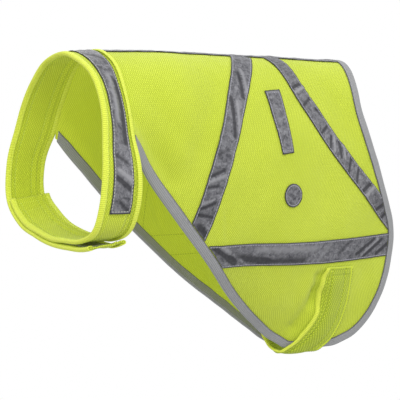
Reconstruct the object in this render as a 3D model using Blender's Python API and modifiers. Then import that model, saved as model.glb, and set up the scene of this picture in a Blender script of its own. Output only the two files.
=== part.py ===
"""Dog safety vest: a mesh cape with reflective tapes, a wide collar band and a belly strap.

The vest keeps the form that it has when it is worn, with nothing inside it. The dog would face
-X, its left side is -Y and up is +Z. The origin is on the inside of the back, at the withers,
where the dog carries it. Sizes are in millimetres until sheet() turns them into metres.

Every piece is a strip or panel of cloth. It starts as a flat grid, is laid on the form of the
back panel or of the collar by a formula, and is made a wall by Solidify.
"""

import bmesh
import bpy
import numpy as np

# ---------------------------------------------------------------- driving dimensions, mm
CLOTH_THICKNESS = 1.6
TAPE_THICKNESS = 0.8
BINDING_THICKNESS = 0.8
SEAM_GAP = 0.3
LAYER_EASE = 0.22
FOLD_DEPTH = 1.0
SEAM_CLEARANCE = BINDING_THICKNESS / 2 + SEAM_GAP + LAYER_EASE

# The binding's ends are cut along the collar seam: how far along its first step it starts, and
# the way across it there, as station and girth for each millimetre of its width.
BINDING_END_CUT = 0.16
BINDING_END_SLANT = (0.08, 1.15)

TAPE_WIDTH = 25.0
FRONT_TAPE_WIDTH = 22.0
REAR_TAPE_WIDTH = 19.0
BODY_BINDING_WIDTH = 11.5
COLLAR_WIDTH = 40.0
COLLAR_EDGE_WIDTH = 6.5
COLLAR_TAPE_INSET = 10.0
COLLAR_TAPE_WIDTH = 20.5
STRAP_WIDTH = 41.0
STRAP_THICKNESS = 2.4
PIPING_WIDTH = 3.0
DOT_DIAMETER = 23.5
BAR_TOP_WIDTH = 21.0
BAR_BOTTOM_WIDTH = 15.5
HOOK_PAD_THICKNESS = 1.4

# ---------------------------------------------------------------- form of the back panel
# Girth is the way along the cloth from the ridge, over the shoulder and down one side.
GIRTH_MARKS = (0, 15, 35, 60, 95, 135, 180, 230, 280, 330, 360)

# Cross-sections from the collar to the hem: station along X, height of the ridge, and the slope
# of the cloth in degrees below level at each girth mark. Past 90 degrees it turns under.
SECTIONS = (
    # station, ridge, slope at each girth mark
    (-60, 1.4, (0, 15.5, 43, 58.5, 66, 110, 118, 132, 143, 153, 158)),
    (-30, 1.2, (0, 17, 36.5, 60, 86.5, 92, 110, 120, 133, 146, 153)),
    (10, 0.8, (0, 16, 37, 60, 81, 92, 102, 114, 129, 143, 150)),
    (100, -0.5, (0, 19, 41, 63, 78, 88, 98, 110, 122, 132, 138)),
    (190, -3.0, (0, 22, 49, 67, 76, 84, 93, 102, 109, 116, 120)),
    (290, -6.0, (0, 22, 49, 69, 82, 88, 93, 96, 99, 102, 104)),
)

# Outline of one half of the cape, cut on the fold. Each row is a line across the cloth from the
# front edge to the rear edge, and the last column says how many rows of faces lead up to it.
OUTLINE_ROWS = (
    # front station, front girth, rear station, rear girth, faces
    (-51.6, 0, 254, 0, 0),
    (-51.8, 16, 252, 15, 2),
    (-52.7, 40, 246, 40, 3),
    (-55.6, 80, 244, 78, 3),
    (-58.6, 118, 253, 112, 4),
    (-48.5, 133, 261, 132, 3),
    (-34.5, 150, 268, 151, 3),
    (7.5, 199, 288, 196, 3),
    (42.0, 236, 291, 228, 3),
    (77.0, 273, 286, 262, 3),
    (101.0, 296, 278, 287, 2),
    (126.0, 317, 266, 309, 2),
    (148.0, 333, 249, 326, 1),
    (171.0, 343, 226, 336, 1),
)
SEAM_ROW = 4

# Columns of faces from the front edge to the rear edge. They lie closer toward the front, where
# the form turns most.
COLUMNS = 20
COLUMN_CROWDING = 1.3

# ---------------------------------------------------------------- pieces laid on the panel
# Centre lines as station and girth, from the ridge down.
FRONT_TAPE_LINE = ((108, 12), (71, 72), (45, 136), (20, 216))
REAR_TAPE_LINE = ((146, 12), (152, 45), (182, 97), (240, 157), (300, 210))
SIDE_TAPE_LINE = ((20, 229.5), (160, 226), (305, 220))
BAR_LINE = ((118, 62), (127.5, 125))
DOT_CENTRE = (134, 166)

# The strap runs down the outside of the left lobe, under the belly, and up the inside of the
# right lobe where it is sewn. Slant is the rise of girth across the strap, width a share of all.
STRAP_ON_LEFT = (
    # girth, station, lift off the panel, width, slant
    (242, 211, 2.5, 0.75, 0.0),
    (248, 211, 2.5, 1.0, 0.0),
    (298, 210, 2.5, 1.0, 0.0),
    (318, 203, 3.4, 1.0, 0.05),
    (331, 196, 3.6, 1.0, 0.12),
    (341, 188, 3.6, 1.0, 0.15),
)
STRAP_ON_RIGHT = (
    # girth, station, lift off the panel, width, slant
    (288, 178, -3.4, 1.0, 0.0),
    (312, 173, -3.4, 1.0, 0.0),
    (330, 173, -3.6, 1.0, 0.05),
    (343, 178, -3.6, 1.0, 0.10),
)
STRAP_STEP = 8.0

# ---------------------------------------------------------------- form of the collar
# The band runs round an axis along X. Clock is the angle in degrees from the top, down the left
# side and up the right side. The radii are those of the front and of the rear rim.
COLLAR_AXIS_HEIGHT = -88.0
COLLAR_RIMS = (
    # clock, front radius, rear radius
    (0, 86.0, 89.4),
    (20, 85.5, 85.4),
    (40, 86.0, 75.0),
    (60, 82.5, 69.4),
    (80, 81.5, 70.3),
    (100, 86.5, 85.0),
    (120, 96.0, 98.8),
    (134, 101.5, 102.5),
    (146, 96.5, 97.5),
    (160, 89.0, 88.0),
    (180, 84.0, 81.0),
    (200, 85.0, 80.5),
    (220, 93.0, 86.0),
    (238, 98.5, 95.0),
    (256, 92.5, 90.0),
    (280, 85.0, 70.3),
    (300, 80.7, 69.4),
    (320, 80.7, 75.0),
    (340, 84.2, 85.4),
)
REAR_RIM_STATION = -51.7
RIM_LEAN = 0.086

# Where the two ends lap, the left end lies inside and the right end outside, and ends in a tab.
# Clock here runs on past the top to negative values on the right side.
LAP_OFFSETS = (
    # clock, offsets of the front and the rear rim away from the ring
    (-222, 8.5, 4.0),
    (-213, 6.0, 3.5),
    (-200, 3.5, 2.8),
    (-180, 2.3, 2.3),
    (-118, 2.3, 2.3),
    (-95, 0.0, 0.0),
    (-80, 0.0, 0.0),
    (110, 0.0, 0.0),
    (125, 0.0, 0.0),
    (146, -2.3, -2.3),
    (205, -2.3, -2.3),
    (238, -2.3, -6.0),
)
COLLAR_ENDS = (-220, 237)
COLLAR_TAPE_ENDS = (-122, 122)
HOOK_PAD_ENDS = (-214, -165)
HOOK_PAD_INSET = 9.0
COLLAR_STEPS = 52

# ---------------------------------------------------------------- colours, linear RGB
LIME = (0.62, 0.72, 0.06)
LIME_EDGE = (0.70, 0.80, 0.09)
TAPE_GREY = (0.15, 0.15, 0.16)
BINDING_GREY = (0.32, 0.32, 0.34)
HOOK_GREY = (0.40, 0.41, 0.36)


def smooth(marks, values, at):
    """Smooth curve through values at rising marks (cubic Hermite with mean slopes)."""
    marks = np.asarray(marks, float)
    values = np.asarray(values, float)
    at = np.clip(np.asarray(at, float), marks[0], marks[-1])
    slopes = np.gradient(values, marks, axis=0)
    i = np.clip(np.searchsorted(marks, at) - 1, 0, len(marks) - 2)
    span = marks[i + 1] - marks[i]
    t = (at - marks[i]) / span
    trailing = (1,) * (values.ndim - 1)
    t = t.reshape(t.shape + trailing)
    span = span.reshape(span.shape + trailing)
    rise = values[i + 1] - values[i]
    start = slopes[i] * span
    end = slopes[i + 1] * span
    return values[i] + t * start + t**2 * (3 * rise - 2 * start - end) + t**3 * (start + end - 2 * rise)


def tabulate_form():
    """Half width and drop below the ridge, on a fine net of stations and girths."""
    stations = np.arange(SECTIONS[0][0], SECTIONS[-1][0] + 31, 5.0)
    girths = np.arange(0, GIRTH_MARKS[-1] + 1, 2.0)
    slopes_by_station = smooth([row[0] for row in SECTIONS], [row[2] for row in SECTIONS], stations)
    slope = np.radians(np.array([smooth(GIRTH_MARKS, row, girths) for row in slopes_by_station]))
    step = girths[1] - girths[0]

    def walk(rate):
        mean = (rate[:, 1:] + rate[:, :-1]) / 2
        return np.concatenate([np.zeros((len(stations), 1)), np.cumsum(mean * step, axis=1)], axis=1)

    return stations, girths, walk(np.cos(slope)), walk(np.sin(slope))


STATIONS, GIRTHS, HALF_WIDTH, DROP = tabulate_form()


def read_net(net, station, girth):
    """Value of a tabulated net between its lines."""
    row = np.clip((station - STATIONS[0]) / (STATIONS[1] - STATIONS[0]), 0, len(STATIONS) - 1.001)
    column = np.clip(girth / (GIRTHS[1] - GIRTHS[0]), 0, len(GIRTHS) - 1.001)
    i = row.astype(int)
    j = column.astype(int)
    u = row - i
    v = column - j
    near = net[i, j] * (1 - v) + net[i, j + 1] * v
    far = net[i + 1, j] * (1 - v) + net[i + 1, j + 1] * v
    return near * (1 - u) + far * u


def on_form(station, girth):
    """Point of the panel's middle surface. A negative girth is on the left side."""
    station = np.asarray(station, float)
    girth = np.asarray(girth, float)
    side = np.where(girth < 0, -1.0, 1.0)
    y = side * read_net(HALF_WIDTH, station, abs(girth))
    ridge = smooth([row[0] for row in SECTIONS], [row[1] for row in SECTIONS], station)
    z = ridge - read_net(DROP, station, abs(girth))
    return np.stack([station, y, z], axis=-1)


def lifted(surface, u, v, lift, step=3.0):
    """Point of a surface moved out along its normal."""
    along = surface(u + step, v) - surface(u - step, v)
    across = surface(u, v + step) - surface(u, v - step)
    normal = np.cross(along, across)
    normal /= np.linalg.norm(normal, axis=-1, keepdims=True)
    return surface(u, v) + normal * np.asarray(lift, float)[..., None]


def on_panel(station, girth, lift=0.0):
    """Point at a distance outside the panel's middle surface."""
    station, girth, lift = np.broadcast_arrays(station, girth, lift)
    return lifted(on_form, station, girth, lift)


def outline_point(row, across, side):
    """Station and girth at a row of the outline table and at a share of the way to the rear.

    The front edge has a corner where the collar seam ends.
    """
    table = np.array([entry[:4] for entry in OUTLINE_ROWS], float)
    marks = np.arange(len(table))
    row = np.asarray(row, float)
    seam = smooth(marks[: SEAM_ROW + 1], table[: SEAM_ROW + 1, :2], row)
    free = smooth(marks[SEAM_ROW:], table[SEAM_ROW:, :2], row)
    front = np.where(row[..., None] <= SEAM_ROW, seam, free)
    rear = smooth(marks, table[:, 2:], row)
    station, girth = np.moveaxis(front + (rear - front) * np.asarray(across, float)[..., None], -1, 0)
    return station, side * girth


def mesh_rows():
    """Positions in the outline table of one side's rows of faces."""
    rows = [0.0]
    for index, entry in enumerate(OUTLINE_ROWS[1:], start=1):
        faces = entry[4]
        rows += [index - 1 + (k + 1) / faces for k in range(faces)]
    return np.array(rows)


def free_edge(side):
    """Flat line of one side's free edge, from the collar seam round the lobe to the ridge."""
    rows = mesh_rows()
    front = np.stack(outline_point(rows[rows >= SEAM_ROW], 0.0, side), axis=-1)
    low = np.stack(outline_point(rows[-1], np.linspace(0, 1, 6)[1:-1], side), axis=-1)
    rear = np.stack(outline_point(rows[::-1], 1.0, side), axis=-1)
    return np.concatenate([front, low, rear])


def inward_of(line, centre):
    """Unit vectors across a flat line, toward a centre."""
    ahead = np.gradient(line, axis=0)
    ahead /= np.linalg.norm(ahead, axis=1, keepdims=True)
    across = np.stack([-ahead[:, 1], ahead[:, 0]], axis=1)
    return across * np.sign(((centre - line) * across).sum(axis=1, keepdims=True))


def clear_scene():
    """Empties the scene."""
    for thing in list(bpy.data.objects):
        bpy.data.objects.remove(thing, do_unlink=True)


def material(name, colour, roughness, metallic=0.0):
    """Plain Principled material."""
    made = bpy.data.materials.new(name)
    made.use_nodes = True
    shader = made.node_tree.nodes["Principled BSDF"]
    shader.inputs["Base Color"].default_value = (*colour, 1)
    shader.inputs["Roughness"].default_value = roughness
    shader.inputs["Metallic"].default_value = metallic
    return made


def sheet(name, points, thickness, offset, finish):
    """Cloth through a net of points: a flat grid, moved to them and made a wall."""
    rows, columns = points.shape[0] - 1, points.shape[1] - 1
    bm = bmesh.new()
    bmesh.ops.create_grid(bm, x_segments=rows, y_segments=columns, size=1)
    for vert in bm.verts:
        i = round((vert.co.x + 1) / 2 * rows)
        j = round((vert.co.y + 1) / 2 * columns)
        vert.co = points[i, j] / 1000
    mesh = bpy.data.meshes.new(name)
    bm.to_mesh(mesh)
    bm.free()
    mesh.materials.append(finish)
    mesh.shade_smooth()
    wall = bpy.data.objects.new(name, mesh)
    PARTS.objects.link(wall)
    solidify = wall.modifiers.new("wall", "SOLIDIFY")
    solidify.thickness = thickness / 1000
    solidify.offset = offset
    return wall


def inset(flat, rows, distance):
    """Half panel's flat net drawn in from its edges: to the seam's gap along the collar."""
    centre = flat.mean(axis=(0, 1))
    moved = flat.copy()
    for column in (0, -1):
        line = flat[:, column]
        moved[:, column] = line + inward_of(line, centre) * distance
    at_collar = rows < SEAM_ROW
    moved[at_collar, 0] = flat[at_collar, 0] + [SEAM_CLEARANCE, 0]
    moved[-1, :, 1] += np.sign(centre[1]) * -distance
    moved[0, :, 1] = 0
    return moved


def build_back_panel():
    """The cape, from the left lobe over the back to the right lobe."""
    clearance = FOLD_DEPTH + BINDING_THICKNESS / 2 + SEAM_GAP + LAYER_EASE
    rows = mesh_rows()
    across = np.linspace(0, 1, COLUMNS + 1)[None, :] ** COLUMN_CROWDING
    left, right = (
        inset(np.stack(outline_point(rows[:, None], across, side), axis=-1), rows, clearance)
        for side in (-1, 1)
    )
    flat = np.concatenate([left[::-1], right[1:]])
    sheet("back_panel", on_panel(flat[..., 0], flat[..., 1]), CLOTH_THICKNESS, 0, LIME_CLOTH)


def fold_section(leaf):
    """Section of a strip folded round a cloth edge: inset from the edge, and lift."""
    reach = CLOTH_THICKNESS / 2 + SEAM_GAP + LAYER_EASE + BINDING_THICKNESS / 2
    half = (leaf + FOLD_DEPTH) / 2
    outside = ((leaf, reach), (half, reach), (FOLD_DEPTH, reach))
    inside = ((FOLD_DEPTH, -reach), (half, -reach), (leaf, -reach))
    return (*outside, (0.0, 0.0), *inside)


def build_body_binding():
    """Binding folded round the free edge, from the left seam end to the right one.

    Its ends are cut along the collar seam.
    """
    halves = []
    for side in (-1, 1):
        line = free_edge(side)
        inward = inward_of(line, np.array([110.0, side * 150.0]))
        line[0] += (line[1] - line[0]) * BINDING_END_CUT
        inward[0] = (BINDING_END_SLANT[0], -side * BINDING_END_SLANT[1])
        halves.append((line, inward))
    line = np.concatenate([halves[0][0], halves[1][0][-2::-1]])
    inward = np.concatenate([halves[0][1], halves[1][1][-2::-1]])
    columns = []
    for distance, lift in fold_section(BODY_BINDING_WIDTH):
        flat = line + inward * distance
        columns.append(on_panel(flat[:, 0], flat[:, 1], lift))
    points = np.stack(columns, axis=1)
    sheet("body_binding", points[:, ::-1], BINDING_THICKNESS, 0, GREY_BINDING)


def flat_strip(line, width, steps, faces_across):
    """Flat net of a straight-edged strip along a centre line; width may change from end to end."""
    line = np.array(line, float)
    lengths = np.linalg.norm(np.diff(line, axis=0), axis=1)
    marks = np.concatenate([[0.0], np.cumsum(lengths)])
    at = np.linspace(0, marks[-1], steps + 1)
    centre = smooth(marks, line, at)
    ahead = np.gradient(centre, axis=0)
    ahead /= np.linalg.norm(ahead, axis=1, keepdims=True)
    across = np.stack([ahead[:, 1], -ahead[:, 0]], axis=1)
    half = np.linspace(width[0], width[1], steps + 1)[:, None, None] / 2
    offsets = np.linspace(-1, 1, faces_across + 1)[None, :, None]
    return centre[:, None] + across[:, None] * offsets * half


def trimmed(flat, inside, steps):
    """Strip cut back, thread by thread, to where it is inside, and spaced evenly again."""
    fine = np.linspace(0, 1, 400)
    rows = np.linspace(0, 1, flat.shape[0])
    cut = np.empty((steps + 1, flat.shape[1], 2))
    for column in range(flat.shape[1]):
        thread = smooth(rows, flat[:, column], fine)
        kept = fine[inside(thread[:, 0], thread[:, 1])]
        cut[:, column] = smooth(rows, flat[:, column], np.linspace(kept[0], kept[-1], steps + 1))
    return cut


def inside_bindings(station, girth):
    """Whether a place on a side is below the spine tape and within the body binding."""
    margin = BODY_BINDING_WIDTH + SEAM_GAP + LAYER_EASE
    rows = np.linspace(0, len(OUTLINE_ROWS) - 1, 200)
    centre = np.array([110.0, 150.0])
    bounds = []
    for across in (0.0, 1.0):
        line = np.stack(outline_point(rows, across, 1), axis=-1)
        line = line + inward_of(line, centre) * margin
        order = np.argsort(line[:, 1])
        bounds.append(np.interp(girth, line[order, 1], line[order, 0]))
    below_spine = girth > TAPE_WIDTH / 2 + SEAM_GAP
    return (station > bounds[0]) & (station < bounds[1]) & below_spine


def disc(centre, radius, faces):
    """Flat net of a round patch: a square net drawn in to a circle."""
    marks = np.linspace(-1, 1, faces + 1)
    a, b = np.meshgrid(marks, marks, indexing="ij")
    x = a * np.sqrt(1 - b**2 / 2)
    y = b * np.sqrt(1 - a**2 / 2)
    return np.stack([centre[0] - radius * x, centre[1] + radius * y], axis=-1)


def lay_on_panel(name, flat, side, thickness, finish):
    """Sheet laid on the outside of one side of the panel."""
    lift = CLOTH_THICKNESS / 2 + SEAM_GAP + LAYER_EASE
    points = on_panel(flat[..., 0], side * flat[..., 1], lift)
    if side > 0:
        points = points[:, ::-1]
    sheet(name, points, thickness, 1, finish)


def build_spine_tape():
    """Tape along the ridge, from the collar to the rear binding."""
    girth = np.linspace(-TAPE_WIDTH / 2, TAPE_WIDTH / 2, 7)
    panel_rear = np.interp(abs(girth), [row[3] for row in OUTLINE_ROWS], [row[2] for row in OUTLINE_ROWS])
    rear = panel_rear - BODY_BINDING_WIDTH - 2 * SEAM_GAP
    front = OUTLINE_ROWS[0][0] + SEAM_CLEARANCE
    station = front + (rear - front) * np.linspace(0, 1, 25)[:, None]
    lift = CLOTH_THICKNESS / 2 + SEAM_GAP + LAYER_EASE
    sheet("spine_tape", on_panel(station, girth, lift), TAPE_THICKNESS, 1, GREY_TAPE)


def build_side_pieces(side, word):
    """Reflective tapes, bar and dot of one side."""
    tapes = (
        ("front_tape", FRONT_TAPE_LINE, FRONT_TAPE_WIDTH, 20),
        ("rear_tape", REAR_TAPE_LINE, REAR_TAPE_WIDTH, 22),
        ("side_tape", SIDE_TAPE_LINE, TAPE_WIDTH, 20),
    )
    for name, line, width, steps in tapes:
        strip = flat_strip(line, (width, width), steps, 3)
        strip = trimmed(strip, inside_bindings, steps)
        lay_on_panel(f"{name}_{word}", strip, side, TAPE_THICKNESS, GREY_TAPE)
    bar = flat_strip(BAR_LINE, (BAR_TOP_WIDTH, BAR_BOTTOM_WIDTH), 8, 3)
    lay_on_panel(f"bar_{word}", bar, side, TAPE_THICKNESS, GREY_TAPE)
    lay_on_panel(f"dot_{word}", disc(DOT_CENTRE, DOT_DIAMETER / 2, 4), side, TAPE_THICKNESS, GREY_TAPE)


def strap_on_side(table, side, offsets):
    """Points of the strap where it lies along one lobe, from the top down."""
    table = np.array(table, float)
    girths = np.linspace(table[0, 0], table[-1, 0], round(np.ptp(table[:, 0]) / STRAP_STEP) + 1)
    station, lift, width, slant = smooth(table[:, 0], table[:, 1:], girths).T[:, :, None]
    return on_panel(station + offsets * width, side * (girths[:, None] - slant * offsets), lift)


def strap_points(offsets):
    """Points along the whole strap at distances beside its centre line."""
    left = strap_on_side(STRAP_ON_LEFT, -1, offsets)
    right = strap_on_side(STRAP_ON_RIGHT, 1, offsets)[::-1]
    rows = np.concatenate([left, right])
    centre = rows.mean(axis=1)
    marks = np.concatenate([[0.0], np.cumsum(np.linalg.norm(np.diff(centre, axis=0), axis=1))])
    last, first = marks[len(left) - 1], marks[len(left)]
    crossing = np.linspace(last, first, round((first - last) / STRAP_STEP) + 1)[1:-1]
    return smooth(marks, rows, np.concatenate([marks[: len(left)], crossing, marks[len(left) :]]))


def build_belly_strap():
    """Strap and the piping on its front edge."""
    half = STRAP_WIDTH / 2
    inner = -half + PIPING_WIDTH + SEAM_GAP + LAYER_EASE
    body = strap_points(np.linspace(inner, half, 5))
    sheet("belly_strap", body, STRAP_THICKNESS, 0, LIME_CLOTH)
    edge = strap_points(np.linspace(-half, -half + PIPING_WIDTH, 2))
    sheet("strap_piping", edge, STRAP_THICKNESS, 0, LIME_BINDING)


def on_ring(clock, across):
    """Point of the collar's middle surface, a distance behind its front rim."""
    table = np.array(COLLAR_RIMS, float)
    wrapped = np.concatenate([table[-3:] - [360, 0, 0], table, table[:3] + [360, 0, 0]])
    front, rear = np.moveaxis(smooth(wrapped[:, 0], wrapped[:, 1:], np.mod(clock, 360)), -1, 0)
    lap = np.array(LAP_OFFSETS)
    front_offset, rear_offset = np.moveaxis(smooth(lap[:, 0], lap[:, 1:], clock), -1, 0)
    front = front + front_offset
    rear = rear + rear_offset
    reach = np.sqrt(COLLAR_WIDTH**2 - (front - rear) ** 2)
    share = across / COLLAR_WIDTH
    radius = front + (rear - front) * share
    turn = np.radians(clock)
    z = COLLAR_AXIS_HEIGHT + radius * np.cos(turn)
    station = REAR_RIM_STATION + RIM_LEAN * z - reach * (1 - share)
    return np.stack([station, -radius * np.sin(turn), z], axis=-1)


def on_collar(clock, across, lift=0.0):
    """Point at a distance outside the collar's middle surface."""
    clock, across, lift = np.broadcast_arrays(clock, across, lift)
    return lifted(on_ring, clock.astype(float), across.astype(float), lift)


def build_collar():
    """Band with lapped ends, its two folded edges, its tape and the hook pad in the lap."""
    clearance = FOLD_DEPTH + BINDING_THICKNESS / 2 + SEAM_GAP + LAYER_EASE
    clock = np.linspace(*COLLAR_ENDS, COLLAR_STEPS + 1)[:, None]
    across = np.linspace(clearance, COLLAR_WIDTH - clearance, 4)[None, :]
    sheet("collar_band", on_collar(clock, across), CLOTH_THICKNESS, 0, LIME_CLOTH)

    for name, rim, inward in (("front", 0.0, 1), ("rear", COLLAR_WIDTH, -1)):
        section = np.array(fold_section(COLLAR_EDGE_WIDTH))
        points = on_collar(clock, rim + inward * section[:, 0], section[:, 1])
        sheet(f"collar_edge_{name}", points[:, ::inward], BINDING_THICKNESS, 0, LIME_BINDING)

    outer = CLOTH_THICKNESS / 2 + SEAM_GAP
    clock = np.linspace(*COLLAR_TAPE_ENDS, 37)[:, None]
    across = COLLAR_TAPE_INSET + np.linspace(0, COLLAR_TAPE_WIDTH, 4)[None, :]
    points = on_collar(clock, across, outer + LAYER_EASE)
    sheet("collar_tape", points, TAPE_THICKNESS, 1, GREY_TAPE)

    clock = np.linspace(*HOOK_PAD_ENDS, 9)[:, None]
    across = np.linspace(HOOK_PAD_INSET, COLLAR_WIDTH - HOOK_PAD_INSET, 4)[None, :]
    points = on_collar(clock, across, -outer - LAYER_EASE)
    sheet("collar_hook_pad", points, HOOK_PAD_THICKNESS, -1, HOOK_TAPE)


clear_scene()
PARTS = bpy.data.collections.new("dog_safety_vest")
bpy.context.scene.collection.children.link(PARTS)
LIME_CLOTH = material("lime_mesh", LIME, 0.85)
LIME_BINDING = material("lime_binding", LIME_EDGE, 0.8)
GREY_BINDING = material("grey_binding", BINDING_GREY, 0.8)
GREY_TAPE = material("reflective_tape", TAPE_GREY, 0.45)
HOOK_TAPE = material("hook_tape", HOOK_GREY, 0.9)

build_back_panel()
build_body_binding()
build_spine_tape()
for side, word in ((-1, "left"), (1, "right")):
    build_side_pieces(side, word)
build_belly_strap()
build_collar()
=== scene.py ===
"""Dog safety vest: the dressed model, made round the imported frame.

Every piece of cloth is a net of points on the form of the cape or of the collar, worked out in
millimetres: station along X, girth down the cloth from the ridge (negative on the left side), or
clock round the collar, plus a lift along the cloth's normal. Folds and crinkles are added to the
lift. cloth() turns a net into metres and gives it a wall.
"""

import bpy
import numpy as np
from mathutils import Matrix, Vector


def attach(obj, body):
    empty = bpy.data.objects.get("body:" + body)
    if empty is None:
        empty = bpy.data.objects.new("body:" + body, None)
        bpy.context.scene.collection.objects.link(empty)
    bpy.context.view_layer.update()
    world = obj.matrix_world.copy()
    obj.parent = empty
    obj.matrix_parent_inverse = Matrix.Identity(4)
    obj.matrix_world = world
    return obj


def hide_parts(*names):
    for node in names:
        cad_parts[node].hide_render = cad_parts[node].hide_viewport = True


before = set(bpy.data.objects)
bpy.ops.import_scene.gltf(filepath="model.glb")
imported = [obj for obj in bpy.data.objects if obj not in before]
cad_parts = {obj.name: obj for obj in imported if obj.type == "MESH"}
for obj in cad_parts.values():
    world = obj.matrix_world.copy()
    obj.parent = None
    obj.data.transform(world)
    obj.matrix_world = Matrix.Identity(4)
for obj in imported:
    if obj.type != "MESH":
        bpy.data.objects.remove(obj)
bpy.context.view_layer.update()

# ---------------------------------------------------------------- sizes, mm
CLOTH = 1.4
TAPE = 0.6
BINDING = 0.7
LEAF_REACH = 1.7  # from the middle of the cloth to that of a folded leaf
LAID_REACH = 1.25  # from the middle of the cloth to the back of what is laid on it
BINDING_WIDTH = 9.8  # the leaf that shows, 1.7 mm less than the solid's, as narrow as in the photo
BINDING_END_SLANT = 1.15  # inset along the seam for each mm of inset, at the binding's cut ends
BINDING_END_POINTS = 2.5  # of its line, over which its inset turns to the seam
SEAM_LEAN = 0.08  # of the collar seam on the flat cloth, across its line
SEAM_REACH = 0.9  # of the cape into the collar's hem
COLLAR_WIDTH = 40.0
COLLAR_EDGE_WIDTH = 5.0  # the leaf that shows, 1.5 mm less than the solid's
EDGE_INSET = 1.9  # of a cloth's own edge from the fold of the strip round it
TAPE_WIDTH = 25.0
TAPE_END_GAP = 0.45  # between a tape's cut end and the binding
SPINE_TAPE_GAP = 0.3
SPINE_TAPE_END_GAP = 0.6
TAPE_CRUMPLE = 0.16
STITCH_INSET = 1.7  # of the sewing from a tape's edge
STRAP_WIDTH = 41.0
STRAP = 2.2
PIPING_WIDTH = 3.0

# ---------------------------------------------------------------- form of the cape, as in the CAD
GIRTH_MARKS = (0, 15, 35, 60, 95, 135, 180, 230, 280, 330, 360)
SECTIONS = (
    # station, ridge, slope in degrees at each girth mark
    (-60, 1.4, (0, 15.5, 43, 58.5, 66, 110, 118, 132, 143, 153, 158)),
    (-30, 1.2, (0, 17, 36.5, 60, 86.5, 92, 110, 120, 133, 146, 153)),
    (10, 0.8, (0, 16, 37, 60, 81, 92, 102, 114, 129, 143, 150)),
    (100, -0.5, (0, 19, 41, 63, 78, 88, 98, 110, 122, 132, 138)),
    (190, -3.0, (0, 22, 49, 67, 76, 84, 93, 102, 109, 116, 120)),
    (290, -6.0, (0, 22, 49, 69, 82, 88, 93, 96, 99, 102, 104)),
)
OUTLINE = np.array((
    # front station, front girth, rear station, rear girth
    (-51.6, 0, 254, 0),
    (-51.8, 16, 252, 15),
    (-52.7, 40, 246, 40),
    (-55.6, 80, 244, 78),
    (-58.6, 118, 253, 112),
    (-48.5, 133, 261, 132),
    (-34.5, 150, 268, 151),
    (7.5, 199, 288, 196),
    (42.0, 236, 291, 228),
    (77.0, 273, 286, 262),
    (101.0, 296, 278, 287),
    (126.0, 317, 266, 309),
    (148.0, 333, 249, 326),
    (171.0, 343, 226, 336),
))
SEAM_ROW = 4
SIDE_MIDDLE = np.array([110.0, 150.0])  # station and girth about the middle of one side

# Soft folds of the cape, from the photograph: a line on the flat cloth, the half width of
# its rounded profile and its height (a trough is negative). Negative girth is the left side.
CAPE_FOLDS = (
    # station, girth, to station, girth, half width, height
    (48, -180, 54, -214, 3.2, 0.9),
    (53, -182, 58, -212, 3.5, -0.6),
    (186, -254, 188, -284, 7.0, -6.0),
    (187, -274, 174, -316, 8.5, -5.5),
    (164, -254, 160, -326, 17, -2.6),
    (200, -262, 206, -318, 9, 1.2),
    (-54, -94, -10, -150, 8, -2.4),
    (-48, -76, 2, -128, 9, 1.3),
    (80, -262, 128, -318, 19, -2.8),
    (250, -255, 232, -312, 15, -1.6),
    (12, -34, -6, -120, 17, 1.8),
    (206, -60, 236, -138, 19, -1.7),
    (104, -132, 122, -206, 24, 1.8),
    (176, -150, 190, -208, 20, -1.6),
    (50, -60, 20, -120, 14, -1.7),
    (46, 172, 56, 212, 4, 1.0),
    (172, 252, 162, 318, 14, -3.6),
    (192, 262, 196, 322, 8, 1.3),
    (-52, 96, -14, 150, 8, -1.8),
    (90, 258, 138, 320, 16, -1.7),
    (248, 250, 236, 306, 14, -1.8),
    (16, 40, -4, 124, 16, 1.8),
    (210, 64, 232, 142, 20, -1.7),
    (98, 128, 118, 200, 22, 1.6),
    (180, 146, 186, 204, 18, -1.7),
    (56, 66, 24, 124, 13, -1.6),
)

# ---------------------------------------------------------------- pieces on the cape
FRONT_TAPE_LINE = ((108, 12), (71, 72), (45, 136), (20, 216))
REAR_TAPE_LINE = ((146, 12), (152, 45), (182, 97), (240, 157), (300, 210))
SIDE_TAPE_LINE = ((20, 229.5), (160, 226), (305, 220))
BAR_LINE = ((118, 62), (127.5, 125))
DOT_CENTRE = (134, 166)
DOT_DIAMETER = 23.5
DOT_STITCH_INSET = 1.8
BAR_WIDTHS = (21.0, 15.5)
PATCH_CRUMPLES = 9.0  # mean length of the crumples of a bar or dot
TAPES = (
    # name, centre line, width, mean length of crumples
    ("front_tape", FRONT_TAPE_LINE, 22.0, 11.0),
    ("rear_tape", REAR_TAPE_LINE, 19.0, 9.0),
    ("side_tape", SIDE_TAPE_LINE, TAPE_WIDTH, 13.0),
)
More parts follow.
